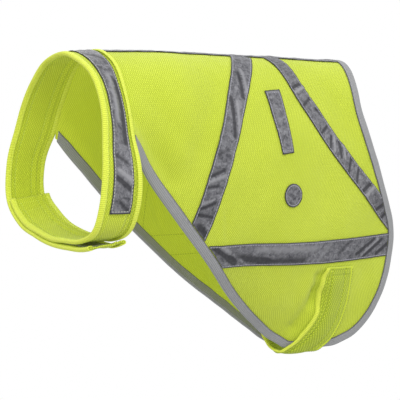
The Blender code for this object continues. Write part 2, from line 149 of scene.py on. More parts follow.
# Crinkles pressed into the left side's tapes, on the same flat cloth, in the same columns. The
# right side's sit a little elsewhere.
RIGHT_SHIFT = 7.0
TAPE_CRINKLES = (
    (83, 44, 78, 71, 2.6, -0.75),
    (88, 40, 84, 66, 2.4, 0.5),
    (63, 72, 61, 110, 2.4, -0.8),
    (69, 76, 66, 106, 2.6, 0.5),
    (29, 149, 47, 142, 2.0, -0.8),
    (30, 153, 48, 147, 2.0, 0.6),
    (19, 159, 41, 157, 1.8, -0.7),
    (20, 179, 38, 173, 1.9, -0.9),
    (21, 175, 37, 170, 1.8, 0.6),
    (20, 184, 37, 187, 1.8, -0.8),
    (24, 196, 36, 208, 3.4, -0.9),
    (40, 128, 52, 122, 2.0, -0.5),
    (164, 50, 148, 57, 1.9, -0.8),
    (166, 54, 151, 61, 1.8, 0.6),
    (171, 65, 160, 74, 1.8, -0.8),
    (175, 77, 186, 87, 1.7, -0.8),
    (187, 95, 177, 103, 1.7, -0.8),
    (192, 105, 188, 119, 1.7, -0.9),
    (196, 106, 194, 120, 1.8, 0.6),
    (202, 105, 204, 126, 1.8, -1.0),
    (208, 110, 209, 128, 1.8, 0.6),
    (219, 127, 213, 144, 1.7, -1.0),
    (230, 138, 226, 152, 1.8, -0.9),
    (249, 153, 233, 163, 2.0, -1.0),
    (252, 158, 238, 168, 2.0, 0.7),
    (272, 175, 256, 183, 1.8, -1.0),
    (275, 186, 262, 194, 1.8, -0.9),
    (42, 216, 74, 236, 3.2, -0.9),
    (50, 216, 82, 234, 2.6, 0.6),
    (68, 229, 112, 235, 4.5, -0.8),
    (112, 235, 158, 233, 4.0, -0.6),
    (100, 222, 170, 220, 4.5, 0.4),
    (258, 214, 232, 229, 2.1, -0.9),
    (263, 215, 240, 230, 2.0, 0.6),
    (270, 215, 243, 231, 2.1, -1.0),
    (282, 219, 263, 230, 2.0, -1.0),
    (221, 214, 205, 228, 2.6, -0.5),
    (190, 216, 178, 232, 3.0, 0.3),
)

STRAP_ON_LEFT = np.array((
    # girth, station, lift off the cape, width, slant
    (242, 209.5, 2.5, 0.9, 0.0),
    (248, 209.5, 2.5, 0.94, 0.0),
    (298, 209.5, 2.5, 0.96, 0.0),
    (318, 203, 3.4, 1.0, 0.05),
    (331, 196, 3.6, 1.0, 0.12),
    (341, 188, 3.6, 1.0, 0.15),
))
STRAP_ON_RIGHT = np.array((
    # girth, station, lift off the cape, width, slant
    (288, 178, -3.4, 1.0, 0.0),
    (312, 173, -3.4, 1.0, 0.0),
    (330, 173, -3.6, 1.0, 0.05),
    (343, 178, -3.6, 1.0, 0.10),
))
STRAP_CHANNEL = (9.5, 29.5)
STRAP_GROOVES = (6.0, 9.5, 29.5, 37.8)  # sewn lines, from the piping's edge; the last is a hem

# ---------------------------------------------------------------- form of the collar
COLLAR_AXIS_HEIGHT = -88.0
COLLAR_RIMS = np.array((
    # clock, front radius, rear radius
    (0, 86.0, 89.4),
    (20, 85.5, 85.4),
    (40, 86.0, 75.0),
    (60, 82.5, 69.4),
    (80, 81.5, 70.3),
    (100, 86.5, 85.0),
    (120, 96.0, 98.8),
    (134, 101.5, 102.5),
    (146, 96.5, 97.5),
    (160, 89.0, 88.0),
    (180, 84.0, 81.0),
    (200, 85.0, 80.5),
    (220, 93.0, 86.0),
    (238, 98.5, 95.0),
    (256, 92.5, 90.0),
    (280, 85.0, 70.3),
    (300, 80.7, 69.4),
    (320, 80.7, 75.0),
    (340, 84.2, 85.4),
))
REAR_RIM_STATION = -51.7
RIM_LEAN = 0.086
LAP_OFFSETS = np.array((
    # clock, offsets of the front and the rear rim away from the ring
    (-222, 8.5, 4.0),
    (-213, 6.0, 3.5),
    (-200, 3.5, 2.8),
    (-180, 2.3, 2.3),
    (-118, 2.3, 2.3),
    (-95, 0.0, 0.0),
    (-80, 0.0, 0.0),
    (110, 0.0, 0.0),
    (125, 0.0, 0.0),
    (146, -2.3, -2.3),
    (205, -2.3, -2.3),
    (238, -2.3, -6.0),
))
COLLAR_ENDS = (-220, 237)
COLLAR_TAPE_ENDS = (-122, 122)
COLLAR_TAPE_INSET = 10.0
COLLAR_TAPE_WIDTH = 20.5
COLLAR_TAPE_RISE = 0.35
COLLAR_STITCH_INSET = 1.2
HOOK_PAD_ENDS = (-214, -165)
HOOK_PAD_INSET = 9.0
MM_PER_CLOCK = 1.5
COLLAR_BORDERS = (9.5, 26.5)
COLLAR_RIDGES = (30.2, 34.4)
# Crinkles of the collar's tape: clock, across, to clock, across, half width, height.
COLLAR_CRINKLES = (
    (104, 14, 112, 32, 2.2, -0.9),
    (100, 15, 108, 33, 2.2, 0.6),
    (40, 27, 84, 26, 3.2, -0.9),
    (36, 20, 70, 18, 3.0, 0.5),
    (12, 12, 22, 30, 2.2, -0.6),
    (90, 10, 96, 24, 2.0, -0.6),
    (116, 18, 122, 30, 1.8, -0.6),
    (64, 10, 74, 20, 1.8, -0.5),
    (-20, 12, -32, 30, 2.2, -0.7),
    (-44, 26, -86, 25, 3.0, -0.9),
    (-98, 14, -108, 31, 2.2, -0.8),
    (-70, 12, -60, 22, 1.9, -0.5),
)


def smooth(marks, values, at):
    """Curve through values at rising marks: cubic Hermite pieces whose slopes are the mean ones."""
    marks = np.asarray(marks, float)
    values = np.asarray(values, float)
    at = np.clip(np.asarray(at, float), marks[0], marks[-1])
    slopes = np.gradient(values, marks, axis=0)
    i = np.clip(np.searchsorted(marks, at) - 1, 0, len(marks) - 2)
    span = marks[i + 1] - marks[i]
    t = (at - marks[i]) / span
    trailing = (1,) * (values.ndim - 1)
    t = t.reshape(t.shape + trailing)
    span = span.reshape(span.shape + trailing)
    rise = values[i + 1] - values[i]
    start = slopes[i] * span
    end = slopes[i + 1] * span
    return values[i] + t * start + t**2 * (3 * rise - 2 * start - end) + t**3 * (start + end - 2 * rise)


def tabulate_form():
    """Half width and drop of the cape: the slope's cosine and sine summed down the girth."""
    stations = np.arange(SECTIONS[0][0], SECTIONS[-1][0] + 31, 5.0)
    girths = np.arange(0, GIRTH_MARKS[-1] + 1, 2.0)
    rows = smooth([row[0] for row in SECTIONS], [row[2] for row in SECTIONS], stations)
    slope = np.radians(np.array([smooth(GIRTH_MARKS, row, girths) for row in rows]))
    nets = []
    for rate in (np.cos(slope), np.sin(slope)):
        mean = (rate[:, 1:] + rate[:, :-1]) / 2
        nets.append(np.concatenate([np.zeros((len(stations), 1)), np.cumsum(mean * 2.0, axis=1)], axis=1))
    return stations, girths, nets[0], nets[1]


STATIONS, GIRTHS, HALF_WIDTH, DROP = tabulate_form()


def read_net(net, station, girth):
    """Value of a tabulated net between its lines, weighted by nearness to them."""
    row = np.clip((station - STATIONS[0]) / 5.0, 0, len(STATIONS) - 1.001)
    column = np.clip(girth / 2.0, 0, len(GIRTHS) - 1.001)
    i = row.astype(int)
    j = column.astype(int)
    u = row - i
    v = column - j
    near = net[i, j] * (1 - v) + net[i, j + 1] * v
    far = net[i + 1, j] * (1 - v) + net[i + 1, j + 1] * v
    return near * (1 - u) + far * u


def on_form(station, girth):
    """Point of the cape without folds: half width sideways and drop below the ridge's height."""
    side = np.where(girth < 0, -1.0, 1.0)
    y = side * read_net(HALF_WIDTH, station, abs(girth))
    ridge = smooth([row[0] for row in SECTIONS], [row[1] for row in SECTIONS], station)
    return np.stack([station, y, ridge - read_net(DROP, station, abs(girth))], axis=-1)


def on_ring(clock, across):
    """Point of the collar: the radius at that clock, drawn along X from the front to the rear rim."""
    turn_round = [360, 0, 0]
    table = np.concatenate([COLLAR_RIMS[-3:] - turn_round, COLLAR_RIMS, COLLAR_RIMS[:3] + turn_round])
    radii = smooth(table[:, 0], table[:, 1:], np.mod(clock, 360))
    front, rear = np.moveaxis(radii + smooth(LAP_OFFSETS[:, 0], LAP_OFFSETS[:, 1:], clock), -1, 0)
    reach = np.sqrt(COLLAR_WIDTH**2 - (front - rear) ** 2)
    share = across / COLLAR_WIDTH
    radius = front + (rear - front) * share
    turn = np.radians(clock)
    z = COLLAR_AXIS_HEIGHT + radius * np.cos(turn)
    station = REAR_RIM_STATION + RIM_LEAN * z - reach * (1 - share)
    return np.stack([station, -radius * np.sin(turn), z], axis=-1)


def unit(vectors):
    """Vectors made 1 long."""
    return vectors / np.linalg.norm(vectors, axis=-1, keepdims=True)


def lifted(surface, u, v, lift, step=3.0):
    """Point of a surface moved out along its normal, the cross product of its two directions."""
    u, v, lift = np.broadcast_arrays(np.asarray(u, float), np.asarray(v, float), lift)
    along = surface(u + step, v) - surface(u - step, v)
    across = surface(u, v + step) - surface(u, v - step)
    return surface(u, v) + unit(np.cross(along, across)) * lift[..., None]


def fold_height(folds, u, v):
    """Sum of folds: each is its height times exp(-(distance to its line / half width) squared)."""
    total = np.zeros(np.broadcast(u, v).shape)
    for ua, va, ub, vb, half, height in folds:
        du, dv = ub - ua, vb - va
        t = np.clip(((u - ua) * du + (v - va) * dv) / (du * du + dv * dv), 0, 1)
        gap = (u - ua - t * du) ** 2 + (v - va - t * dv) ** 2
        total += height * np.exp(-gap / half**2)
    return total


def crumple(u, v, length, height, seed):
    """Uneven crumples: eight sine waves of about one length, in seeded directions and phases."""
    draw = np.random.default_rng(seed)
    total = np.zeros(np.broadcast(u, v).shape)
    for _ in range(8):
        turn, phase = draw.uniform(0, np.pi), draw.uniform(0, 2 * np.pi)
        wave = 2 * np.pi / (length * draw.uniform(0.6, 1.7))
        total += np.sin(wave * (u * np.cos(turn) + v * np.sin(turn)) + phase)
    return total * height / np.sqrt(8)


def cape_relief(station, girth):
    """Folds of the cape and a slight unevenness all over."""
    long = crumple(station, girth, length=70.0, height=0.5, seed=11)
    short = crumple(station, girth, length=26.0, height=0.12, seed=12)
    return fold_height(CAPE_FOLDS, station, girth) + long + short


def on_cape(station, girth, lift=0.0):
    """Point at a height above the folded cape."""
    return lifted(on_form, station, girth, lift + cape_relief(station, girth))


def collar_relief(across):
    """Sewing of the collar's inner face: grooves along the border and two raised ridges of hem."""
    grooves = sum(np.exp(-(((across - at) / 1.1) ** 2)) for at in COLLAR_BORDERS)
    ridges = sum(np.exp(-(((across - at) / 1.6) ** 2)) for at in COLLAR_RIDGES)
    return 0.6 * grooves - 1.6 * ridges


def on_collar(clock, across, lift=0.0):
    """Point at a height above the collar's middle surface, with its slight waves."""
    wave = crumple(clock * MM_PER_CLOCK, across, length=34.0, height=0.25, seed=21)
    return lifted(on_ring, clock, across, lift + wave)


def outline_point(row, across, side):
    """Station and girth at a row of the outline table and at a share of the way to the rear.

    The front edge is two smooth curves that meet in a corner, where the collar seam ends.
    """
    marks = np.arange(len(OUTLINE))
    row = np.asarray(row, float)
    seam = smooth(marks[: SEAM_ROW + 1], OUTLINE[: SEAM_ROW + 1, :2], row)
    free = smooth(marks[SEAM_ROW:], OUTLINE[SEAM_ROW:, :2], row)
    front = np.where(row[..., None] <= SEAM_ROW, seam, free)
    rear = smooth(marks, OUTLINE[:, 2:], row)
    return (front + (rear - front) * np.asarray(across, float)[..., None]) * [1, side]


def marks_along(line):
    """Distance of each point of a line from its start, along it."""
    return np.concatenate([[0.0], np.cumsum(np.linalg.norm(np.diff(line, axis=0), axis=1))])


def ahead_of(line):
    """Unit vectors along a line."""
    return unit(np.gradient(line, axis=0))


def spaced(line, step):
    """A line drawn again as a smooth curve with points a step apart."""
    marks = marks_along(line)
    return smooth(marks, line, np.linspace(0, marks[-1], max(2, round(marks[-1] / step)) + 1))


def free_edge(side):
    """Flat line of one side's free edge: down the front, along the bottom and up the rear."""
    last = len(OUTLINE) - 1
    front = outline_point(np.arange(SEAM_ROW, last + 0.1, 0.5), 0.0, side)
    low = outline_point(last, np.linspace(0, 1, 6)[1:-1], side)
    rear = outline_point(np.arange(last, -0.1, -0.5), 1.0, side)
    return spaced(np.concatenate([front, low, rear]), 2.0)


def inward_of(line, centre):
    """Unit vectors across a flat line, toward a centre."""
    ahead = ahead_of(line)
    across = np.stack([-ahead[:, 1], ahead[:, 0]], axis=1)
    return across * np.sign(((centre - line) * across).sum(axis=1, keepdims=True))


def cape_edge():
    """The whole free edge, from the left seam end to the right one, and its inward directions.

    At both ends these turn to run along the collar seam, where the binding is cut off.
    """
    lines, inward = [], []
    for side in (-1, 1):
        line = free_edge(side)[1:]
        across = inward_of(line, SIDE_MIDDLE * [1, side])
        seam = np.array([SEAM_LEAN, -side]) * BINDING_END_SLANT
        share = np.exp(-((np.arange(len(line)) / BINDING_END_POINTS) ** 2))[:, None]
        lines.append(line)
        inward.append(across * (1 - share) + seam * share)
    return np.concatenate([lines[0], lines[1][-2::-1]]), np.concatenate([inward[0], inward[1][-2::-1]])


def fold_profile(leaf, faces=7):
    """Section of a strip folded round an edge: inset and height. The turn is a half ellipse.

    The leaf's own edge is pulled down a little by its sewing.
    """
    reach = 1.8
    turn = np.linspace(np.pi / 2, -np.pi / 2, 9)
    height = np.full(faces, LEAF_REACH)
    height[:2] += [-0.3, 0.05]
    upper = np.stack([np.linspace(leaf, reach, faces), height], axis=1)
    round_edge = np.stack([reach * (1 - np.cos(turn)), LEAF_REACH * np.sin(turn)], axis=1)[1:-1]
    return np.concatenate([upper, round_edge, upper[::-1] * [1, -1]])


def flat_strip(line, width, steps, faces_across):
    """Flat net of a strip: its centre line, moved sideways by shares of its width."""
    marks = marks_along(line)
    centre = smooth(marks, line, np.linspace(0, marks[-1], steps + 1))
    ahead = ahead_of(centre)
    across = np.stack([ahead[:, 1], -ahead[:, 0]], axis=1)
    half = np.linspace(*width, steps + 1)[:, None, None] / 2
    shares = np.linspace(-1, 1, faces_across + 1)[None, :, None]
    return centre[:, None] + across[:, None] * shares * half


def inside_bindings(station, girth):
    """Whether a place on a side is below the spine tape and within the binding."""
    rows = np.linspace(0, len(OUTLINE) - 1, 200)
    bounds = []
    for across in (0.0, 1.0):
        line = outline_point(rows, across, 1)
        line = line + inward_of(line, SIDE_MIDDLE) * (BINDING_WIDTH + TAPE_END_GAP)
        order = np.argsort(line[:, 1])
        bounds.append(np.interp(girth, line[order, 1], line[order, 0]))
    below_spine_tape = girth > TAPE_WIDTH / 2 + SPINE_TAPE_GAP
    return (station > bounds[0]) & (station < bounds[1]) & below_spine_tape


def trimmed(flat, steps):
    """Strip cut back, thread by thread, to the binding and the spine tape, and spaced evenly."""
    fine = np.linspace(0, 1, 400)
    rows = np.linspace(0, 1, flat.shape[0])
    cut = np.empty((steps + 1, flat.shape[1], 2))
    for column in range(flat.shape[1]):
        thread = smooth(rows, flat[:, column], fine)
        kept = fine[inside_bindings(thread[:, 0], thread[:, 1])]
        cut[:, column] = smooth(rows, flat[:, column], np.linspace(kept[0], kept[-1], steps + 1))
    return cut


def disc(centre, radius, faces):
    """Flat net of a round patch: a square net drawn in to a circle."""
    marks = np.linspace(-1, 1, faces + 1)
    a, b = np.meshgrid(marks, marks, indexing="ij")
    x = a * np.sqrt(1 - b**2 / 2)
    y = b * np.sqrt(1 - a**2 / 2)
    return np.stack([centre[0] - radius * x, centre[1] + radius * y], axis=-1)


def strap_on_side(table, side, offsets):
    """Points of the strap where it lies along one lobe, from the top down."""
    girths = np.linspace(table[0, 0], table[-1, 0], round(np.ptp(table[:, 0]) / 2.0) + 1)
    station, lift, width, slant = smooth(table[:, 0], table[:, 1:], girths).T[:, :, None]
    return on_cape(station + offsets * width, side * (girths[:, None] - slant * offsets), lift)


def strap_points(offsets):
    """Points along the whole strap at distances beside its centre line.

    Both laid parts are on the lobes, and a smooth curve joins them under the belly.
    """
    left = strap_on_side(STRAP_ON_LEFT, -1, offsets)
    right = strap_on_side(STRAP_ON_RIGHT, 1, offsets)[::-1]
    rows = np.concatenate([left, right])
    marks = marks_along(rows.mean(axis=1))
    last, first = marks[len(left) - 1], marks[len(left)]
    crossing = np.linspace(last, first, round((first - last) / 2.0) + 1)[1:-1]
    return smooth(marks, rows, np.concatenate([marks[: len(left)], crossing, marks[len(left) :]]))


def strap_normals(net):
    """Unit normals of a net of the strap, from its two directions, turned away from the dog."""
    normal = np.cross(np.gradient(net, axis=0), np.gradient(net, axis=1))
    normal /= np.maximum(np.linalg.norm(normal, axis=-1, keepdims=True), 1e-9)
    return -normal if normal[10, 4, 1] > 0 else normal


def lengths_of(net):
    """Distance along and across a net, in mm, at each point."""
    along = np.zeros(net.shape[:2])
    across = np.zeros(net.shape[:2])
    along[1:] = np.cumsum(np.linalg.norm(np.diff(net, axis=0), axis=-1), axis=0)
    across[:, 1:] = np.cumsum(np.linalg.norm(np.diff(net, axis=1), axis=-1), axis=1)
    return along.mean(axis=1, keepdims=True) + 0 * along, across


# ---------------------------------------------------------------- materials
def linear(code):
    """Linear RGBA of an sRGB hex value."""
    parts = [int(code[i : i + 2], 16) / 255 for i in (1, 3, 5)]
    return (*[c / 12.92 if c <= 0.04045 else ((c + 0.055) / 1.055) ** 2.4 for c in parts], 1.0)


def add(tree, kind, inputs=None, **settings):
    """Adds a shader node: settings are its own, inputs are values or other nodes' outputs."""
    made = tree.nodes.new("ShaderNode" + kind)
    for key, value in settings.items():
        setattr(made, key, value)
    for key, value in (inputs or {}).items():
        if isinstance(value, bpy.types.NodeSocket):
            tree.links.new(value, made.inputs[key])
        else:
            made.inputs[key].default_value = value
    return made


def new_material(name):
    """Empty material and its node tree, with the output node in place."""
    made = bpy.data.materials.new(name)
    made.use_nodes = True
    made.node_tree.nodes.clear()
    return made, made.node_tree


def attribute(tree, name):
    """Value of a mesh attribute."""
    return add(tree, "Attribute", attribute_name=name).outputs["Fac"]


def noise(tree, scale, detail, **inputs):
    """Value of a noise texture on the object's own coordinates."""
    point = add(tree, "TexCoord").outputs["Object"]
    inputs = {0: point, "Scale": scale, "Detail": detail, **inputs}
    return add(tree, "TexNoise", inputs).outputs["Fac"]


def ramp(tree, value, none_at, most_at, most=1.0):
    """Share from 0 to the most as a value goes from one mark to the other."""
    return add(tree, "MapRange", {0: value, 1: none_at, 2: most_at, 3: 0.0, 4: most}).outputs[0]


def mix(tree, share, none, full):
    """Colour that goes from one to another with a share."""
    return add(tree, "Mix", {0: share, 6: none, 7: full}, data_type="RGBA").outputs[2]


def bump(tree, height, depth, strength, **inputs):
    """Normal of a surface that stands up by a value."""
    inputs = {"Height": height, "Distance": depth, "Strength": strength, **inputs}
    return add(tree, "Bump", inputs).outputs[0]


def finish_material(made, colour, normal, roughness, **constants):
    """Principled shader whose colour and normal come from nodes and whose rest are constants."""
    inputs = {"Base Color": colour, "Normal": normal, "Roughness": roughness}
    inputs.update({key.replace("_", " "): value for key, value in constants.items()})
    shader = add(made.node_tree, "BsdfPrincipled", inputs)
    add(made.node_tree, "OutputMaterial", {"Surface": shader.outputs[0]})
    return made


WAVE_PERIOD = 0.314  # a wave texture repeats every 0.314 / scale, here in mm of cloth


def knit_material(name, bright, shaded, pore, pitch, depth, glow, only_where=None):
    """Polyester warp-knit mesh, dyed fluorescent: matt, with diagonal rows of small pores.

    The pores are where two sine waves, 56 degrees either side of the courses, are both low. Real
    ones are about 1.2 mm apart. They are drawn 1.9 mm apart or more, or else they wouldn't show.
    With only_where they show where that attribute is 1. The glow is painted light: an emission that
    stands in for the light that the dye gives back and, on an inner face, for the daylight that comes
    through the thin cloth. The slow change between the two tones is about 70 mm wide.
    """
    made, tree = new_material(name)
    flat = add(tree, "UVMap", uv_map="cloth_mm").outputs[0]
    waves = []
    for turn in (0.98, -0.98):
        turned = add(tree, "Mapping", {0: flat, "Rotation": (0, 0, turn)}).outputs[0]
        wave = add(tree, "TexWave", {
            0: turned, "Scale": WAVE_PERIOD / pitch, "Distortion": 0.35, "Detail": 1.0, "Detail Scale": 0.4,
        })
        waves.append(wave.outputs["Fac"])
    threads = add(tree, "Math", {0: waves[0], 1: waves[1]}, operation="MULTIPLY").outputs[0]
    pores = ramp(tree, threads, 0.0, 0.42)
    if only_where:
        shown = attribute(tree, only_where)
        hidden = add(tree, "Math", {0: 1.0, 1: shown}, operation="SUBTRACT").outputs[0]
        pores = add(tree, "Math", {0: pores, 1: hidden}, operation="MAXIMUM").outputs[0]
    cloud = ramp(tree, noise(tree, 14.0, 3.0), 0.3, 0.7)
    colour = mix(tree, cloud, linear(shaded), linear(bright))
    return finish_material(
        made, mix(tree, pores, linear(pore), colour), bump(tree, pores, depth, 0.6), 0.82,
        Sheen_Weight=0.15, Sheen_Roughness=0.5, Specular_IOR_Level=0.3,
        # The emission is painted light, in the cloth's bright tone.
        Emission_Color=linear(bright), Emission_Strength=glow,
    )


def ribbed_material(name, bright, groove, pitch, along, depth, glow, painted_edge_shadow=None):
    """Woven or knitted binding: matt ribs, a sine across or along the strip, in two tones.

    The edge colour is painted shadow along the leaf's sewn edge, where it meets the cloth under it, 0.5 to
    1.3 mm wide. The glow is painted light, an emission in the bright tone.
    """
    made, tree = new_material(name)
    flat = add(tree, "UVMap", uv_map="cloth_mm").outputs[0]
    turn = 0.12 if along else 1.5708
    turned = add(tree, "Mapping", {0: flat, "Rotation": (0, 0, turn)}).outputs[0]
    ribs = add(tree, "TexWave", {
        0: turned, "Scale": WAVE_PERIOD / pitch, "Distortion": 0.5, "Detail": 1.0,
    }).outputs["Fac"]
    colour = mix(tree, ribs, linear(groove), linear(bright))
    # Painted shadow along both edges of the leaf.
    if painted_edge_shadow:
        share = ramp(tree, attribute(tree, "edge_mm"), 0.5, 1.3)
        colour = mix(tree, share, linear(painted_edge_shadow), colour)
    return finish_material(
        made, colour, bump(tree, ribs, depth, 0.7), 0.75, Sheen_Weight=0.1, Sheen_Roughness=0.5,
        Specular_IOR_Level=0.35, Emission_Color=linear(bright), Emission_Strength=glow,
    )


def tape_material(name):
    """Retroreflective tape: glass beads on grey cloth, so a dull silver grey with mottled creases.

    Painted shade darkens the troughs of its crinkles and a painted highlight lightens their ridges. Its
    cut edge is darker, partly its own dark edge and partly painted shadow, and it is paler on the sewn
    line. The mottling is in patches of about 4 mm. The beads are far too fine to show, so their grain
    is drawn about 1 mm wide.
    """
    made, tree = new_material(name)
    mottle = noise(tree, 230.0, 4.0, Roughness=0.7, Distortion=0.8)
    fold, edge = attribute(tree, "fold"), attribute(tree, "edge_mm")
    colour = linear("#47474C")
    for source, none_at, most_at, most, other in (
        (mottle, 0.35, 0.68, 1.0, "#86868B"),
        # painted shade in the crinkles' troughs and painted highlight on their ridges
        (fold, -0.08, -0.6, 0.85, "#2B2B30"),
        (fold, 0.08, 0.5, 0.8, "#949498"),
        (edge, 2.5, 1.9, 0.85, "#808086"),
        # the dark cut edge: partly its own colour, partly painted shadow
        (edge, 1.2, 0.8, 0.95, "#38383E"),
    ):
        colour = mix(tree, ramp(tree, source, none_at, most_at, most), colour, linear(other))
    beads = bump(tree, noise(tree, 900.0, 2.0), 0.0001, 0.35)
    creases = bump(tree, noise(tree, 210.0, 3.0), 0.0007, 0.6, Normal=beads)
    return finish_material(made, colour, creases, 0.5, Metallic=0.25, Specular_IOR_Level=0.4)


def plain_cloth_material(name, colour, dark, scale, depth, roughness):
    """Spun thread or hook tape: two tones of one colour, broken up at the size of its fibres.

    A scale of 2500 is 0.4 mm and one of 1500 is 0.7 mm, the hooks' spacing drawn a little coarse.
    """
    made, tree = new_material(name)
    fibre = noise(tree, scale, 3.0)
    body = mix(tree, ramp(tree, fibre, 0.38, 0.62), linear(dark), linear(colour))
    hairs = bump(tree, fibre, depth, 0.8)
    return finish_material(made, body, hairs, roughness, Sheen_Weight=0.1, Specular_IOR_Level=0.3)


FINE_KNIT = {"pitch": 1.9, "depth": 0.0005}
# The inner faces are the same cloth: their darker tones are painted shade, and their stronger glow is
# painted light.
SHADED_INSIDE_TONES = ("#C4D03C", "#AEBB2A", "#98A91E")
LIME_MESH = knit_material(
    "polyester_warp_knit_mesh", "#CFDC48", "#BECC38", "#A4B526", glow=0.07, **FINE_KNIT
)
LIME_INSIDE_SHADED_GLOWING = knit_material("warp_knit_mesh_inner_face_painted_shade_and_glow", *SHADED_INSIDE_TONES, glow=0.34, **FINE_KNIT)
LIME_COLLAR_INSIDE_SHADED_GLOWING = knit_material(
    "warp_knit_mesh_collar_inner_face_painted_shade_and_glow", *SHADED_INSIDE_TONES, glow=0.19, **FINE_KNIT
)
LIME_CHANNEL = knit_material(
    "coarse_knit_mesh_channel", "#C2D03C", "#B4C430", "#889E18", pitch=2.3, depth=0.0010, glow=0.07,
    only_where="fold",
)
RIBS = {"pitch": 1.7, "depth": 0.0004}
LIME_EDGE = ribbed_material("knitted_hem_ribs", "#D6E04E", "#BAC738", along=True, glow=0.12, **RIBS)
GREY_EDGE = ribbed_material(
    "woven_grey_binding", "#959697", "#7B7C7E", along=False, glow=0.11, painted_edge_shadow="#505055", **RIBS
)
REFLECTIVE = tape_material("glass_bead_reflective_tape")
HOOKS = plain_cloth_material(
    "nylon_hook_tape", "#C3C7B4", "#8F9486", scale=1500.0, depth=0.0006, roughness=0.9
)
GREY_THREAD, LIME_THREAD, PALE_THREAD, SHADED_LIME_THREAD = (
    plain_cloth_material(name, colour, dark, scale=2500.0, depth=0.0001, roughness=roughness)
    for name, colour, dark, roughness in (
        ("grey_polyester_thread", "#BDBDC6", "#92929C", 0.6),
        ("lime_polyester_thread", "#EAF783", "#C9DD45", 0.6),
        ("pale_polyester_thread", "#DADCCB", "#B4B6A6", 0.6),
        # lime thread with painted shade: darker tones for stitches that lie in shade
        ("lime_thread_in_shade", "#97AA26", "#7B8E1C", 0.7),
    )
)


# ---------------------------------------------------------------- making pieces
def grid_faces(rows, columns):
    """Quads of a net, as four corner numbers each."""
    i, j = np.meshgrid(np.arange(rows - 1), np.arange(columns - 1), indexing="ij")
    corner = (i * columns + j).ravel()
    return np.stack([corner, corner + columns, corner + columns + 1, corner + 1], axis=1)


def new_object(name, data):
    """Object of a mesh, light or camera, in the scene."""
    made = bpy.data.objects.new(name, data)
    bpy.context.scene.collection.objects.link(made)
    return made


def place(mesh, name, finish, nodes=()):
    """Object of a finished mesh, riding on the one body and standing for CAD nodes."""
    mesh.materials.append(finish)
    mesh.shade_smooth()
    made = new_object(name, mesh)
    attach(made, "root")
    if nodes:
        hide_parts(*nodes)
    return made


def cloth(name, net, thickness, finish, nodes=(), fold=None, edge=None, inside=None):
    """Cloth through a net of points in mm, with its wall half to each side of the net.

    An inside finish is that of the face which the net turns its back on.
    """
    rows, columns = net.shape[:2]
    mesh = bpy.data.meshes.new(name)
    mesh.from_pydata(net.reshape(-1, 3) / 1000, [], grid_faces(rows, columns))
    corner = np.empty(len(mesh.loops), np.int32)
    mesh.loops.foreach_get("vertex_index", corner)
    flat = np.stack(lengths_of(net), axis=-1).reshape(-1, 2)
    layer = mesh.uv_layers.new(name="cloth_mm")
    layer.data.foreach_set("uv", flat[corner].ravel())
    # fold is a crinkle's depth, which the tape finish turns into painted shade and highlight, or the
    # strap's share of pores; edge_mm feeds painted edge shadows and the pale sewn line
    for word, values, plain in (("fold", fold, 0.0), ("edge_mm", edge, 20.0)):
        values = np.full((rows, columns), plain) if values is None else values
        kept = mesh.attributes.new(word, "FLOAT", "POINT")
        kept.data.foreach_set("value", np.ascontiguousarray(values, dtype=np.float32).ravel())
    made = place(mesh, name, finish, nodes)
    wall = made.modifiers.new("wall", "SOLIDIFY")
    wall.thickness = thickness / 1000
    wall.offset = 0
    if inside:
        mesh.materials.append(inside)
        wall.material_offset = 1
    return made


def strip_edges(net):
    """Distance from the nearer long edge of a net, in mm."""
    across = lengths_of(net)[1]
    return np.minimum(across, across[:, -1:] - across)


def stitches(name, runs, finish, pitch, length, width):
    """Rows of stitches as one mesh. A run is a line of points and its normals.

    Each stitch is a thread of five sides through four rings, and narrows into the cloth at both
    ends. The shape gives each ring's place along the stitch, its size and its height.
    """
    shape = np.array([(-1.0, 0.35, -0.5), (-0.6, 0.9, 0.1), (0.6, 0.9, 0.1), (1.0, 0.35, -0.5)])
    turn = np.linspace(0, 2 * np.pi, 6)[:-1]
    centres, aheads, ups = [], [], []
    for points, normals in runs:
        marks = marks_along(points)
        at = np.arange(pitch / 2, marks[-1], pitch)
        ahead = np.gradient(points, axis=0)
        for kept, source in ((centres, points), (aheads, ahead), (ups, normals)):
            kept.append(np.stack([np.interp(at, marks, source[:, k]) for k in range(3)], axis=1))
    centre, ahead, up = (np.concatenate(part) for part in (centres, aheads, ups))
    ahead = unit(ahead)
    up = unit(up - ahead * (up * ahead).sum(axis=1, keepdims=True))
    beside = np.cross(ahead, up)
    ring = (
        beside[:, None, None] * np.cos(turn)[None, None, :, None]
        + up[:, None, None] * 0.7 * np.sin(turn)[None, None, :, None]
    ) * shape[None, :, 1, None, None] * width / 2
    middle = ahead[:, None, None] * shape[None, :, 0, None, None] * length / 2
    sunk = up[:, None, None] * shape[None, :, 2, None, None] * width / 2
    points = centre[:, None, None] + ring + middle + sunk
    number = np.arange(len(centre))[:, None, None] * 20
    k, j = np.meshgrid(np.arange(3), np.arange(5), indexing="ij")
    a = k * 5 + j
    b = k * 5 + (j + 1) % 5
    sides = np.stack([a, b, b + 5, a + 5], axis=-1).reshape(-1, 4)
    caps = np.array([[4, 3, 2, 1, 0], [15, 16, 17, 18, 19]])
    faces = (number + sides[None]).reshape(-1, 4).tolist() + (number + caps[None]).reshape(-1, 5).tolist()
    mesh = bpy.data.meshes.new(name)
    mesh.from_pydata(points.reshape(-1, 3) / 1000, [], faces)
    return place(mesh, name, finish)


def cut_size(net):
    """Width, length and area in metres of the flat cut: a net's sides laid out straight."""
    along, across = lengths_of(net)
    a = net[1:, :-1] - net[:-1, :-1]
    b = net[:-1, 1:] - net[:-1, :-1]
    area = np.linalg.norm(np.cross(a, b), axis=-1).sum() / 1e6
    width, length = across[:, -1].max() / 1000, along[-1].max() / 1000
    return (round(width, 4), round(length, 4)), round(min(area, width * length), 5)


